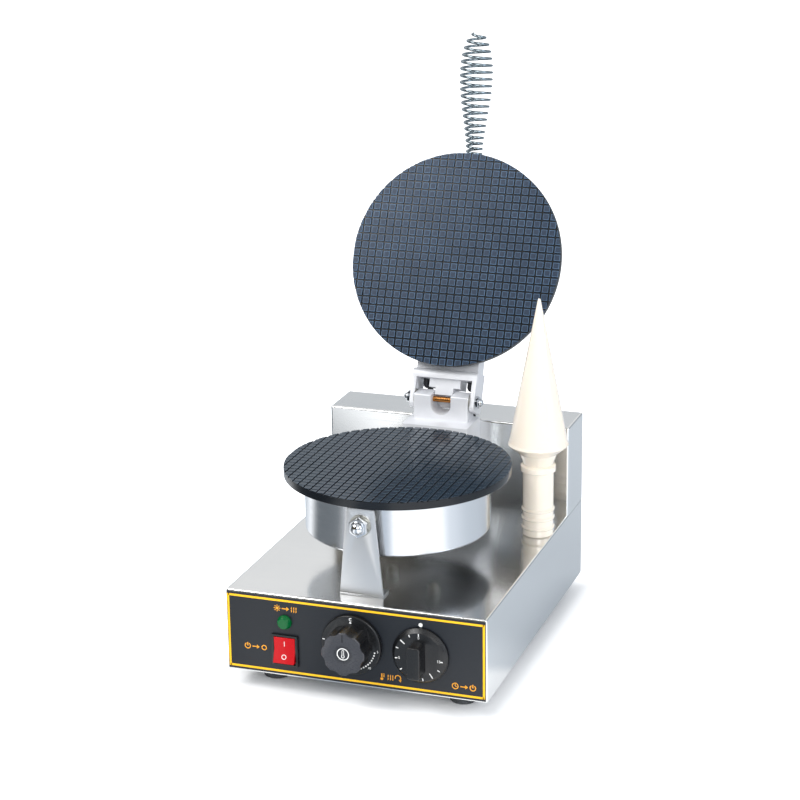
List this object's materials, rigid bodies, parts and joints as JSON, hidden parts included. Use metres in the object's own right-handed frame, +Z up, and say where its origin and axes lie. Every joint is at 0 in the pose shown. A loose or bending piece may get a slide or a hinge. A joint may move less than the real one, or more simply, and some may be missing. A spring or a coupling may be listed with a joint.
{
  "type": "electric krumkake iron",
  "caption": "Countertop electric krumkake iron: stainless control box, hinged round baking plates with a spring-coil handle, dials, rocker switch and a cone former.",
  "frame": {"origin": "on the table, under the middle of the control box", "axes": "+Z up, +X to the right, -Y to the front with the knobs"},
  "size_m": [0.2592, 0.4093, 0.5466],
  "materials": {
    "brushed_stainless": "satin",
    "polished_stainless": "polished",
    "coated_plate": "satin non-stick coating",
    "cast_aluminium": "cast, lightly blasted",
    "chrome": "bright",
    "zinc_steel": "zinc plated",
    "pin_bronze": "worn bronze",
    "panel_overlay": "fine matte overlay",
    "black_plastic": "satin",
    "red_rocker": "glossy translucent red",
    "green_lens": "glossy translucent green",
    "cone_plastic": "smooth ivory",
    "foot_rubber": "matte",
    "heater_steel": "heat tinted",
    "ceramic_wool": "fibrous",
    "terminal_ceramic": "glazed",
    "sleeve_fabric": "woven glass sleeve"
  },
  "bodies": {
    "base": {"base_shell": "brushed_stainless", "bottom_cover": "brushed_stainless", "rear_housing": "brushed_stainless", "rear_cover": "brushed_stainless", "sheet_screws": "zinc_steel", "foot_and_bracket_screws": "zinc_steel", "foot_and_bracket_nuts": "zinc_steel", "rubber_feet": "foot_rubber", "lower_plate": "coated_plate", "lower_drum": "polished_stainless", "lower_heating_element": "heater_steel", "lower_clamp_disc": "zinc_steel", "lower_insulation": "ceramic_wool", "lower_studs": "zinc_steel", "lower_stud_nuts": "zinc_steel", "lead_conduit": "polished_stainless", "support_bracket": "brushed_stainless", "bracket_spacer": "zinc_steel", "bracket_bolt": "zinc_steel", "bracket_washer": "zinc_steel", "bracket_acorn_nut": "chrome", "hinge_post": "cast_aluminium", "post_bolts": "zinc_steel", "hinge_pin": "pin_bronze", "hinge_washers": "zinc_steel", "hinge_acorn_nuts": "chrome", "housing_lead_sleeves": "sleeve_fabric", "control_panel": "panel_overlay", "lamp_lens": "green_lens", "lamp_body": "black_plastic", "switch_body": "black_plastic", "switch_terminals": "zinc_steel", "thermostat_body": "zinc_steel", "timer_body": "zinc_steel", "cable_gland": "black_plastic", "gland_nut": "black_plastic", "terminal_block": "terminal_ceramic"},
    "lid": {"upper_plate": "coated_plate", "upper_drum": "polished_stainless", "upper_heating_element": "heater_steel", "upper_clamp_disc": "zinc_steel", "upper_insulation": "ceramic_wool", "upper_studs": "zinc_steel", "upper_stud_nuts": "zinc_steel", "hinge_frame": "cast_aluminium", "hinge_bushes": "pin_bronze", "frame_screws": "zinc_steel", "lid_lead_sleeves": "sleeve_fabric", "handle_stud": "zinc_steel", "handle_boss": "chrome", "handle_root_nut": "zinc_steel", "handle_coil": "chrome"},
    "thermostat": {"thermostat_knob": "black_plastic", "thermostat_shaft": "zinc_steel"},
    "timer": {"timer_knob": "black_plastic", "timer_shaft": "zinc_steel"},
    "rocker": {"switch_rocker": "red_rocker"},
    "cone": {"cone_former": "cone_plastic"}
  },
  "joints": [
    {"name": "lid_hinge", "type": "hinge", "parent": "base", "child": "lid", "pos_m": [0, 0.0955, 0.2065], "axis": [1, 0, 0], "range_deg": [0, 114.2]},
    {"name": "thermostat_turn", "type": "hinge", "parent": "base", "child": "thermostat", "pos_m": [-0.0015, -0.1618, 0.0572], "axis": [0, 1, 0], "range_deg": [0, 270]},
    {"name": "timer_turn", "type": "hinge", "parent": "base", "child": "timer", "pos_m": [0.06248, -0.1618, 0.055], "axis": [0, 1, 0], "range_deg": [0, 300]},
    {"name": "rocker_tilt", "type": "hinge", "parent": "base", "child": "rocker", "pos_m": [-0.0662, -0.1602, 0.0422], "axis": [1, 0, 0], "range_deg": [0, 18]},
    {"name": "cone_lift", "type": "slide", "parent": "base", "child": "cone", "axis": [0, 0, 1], "range_m": [0, 0.26]}
  ]
}
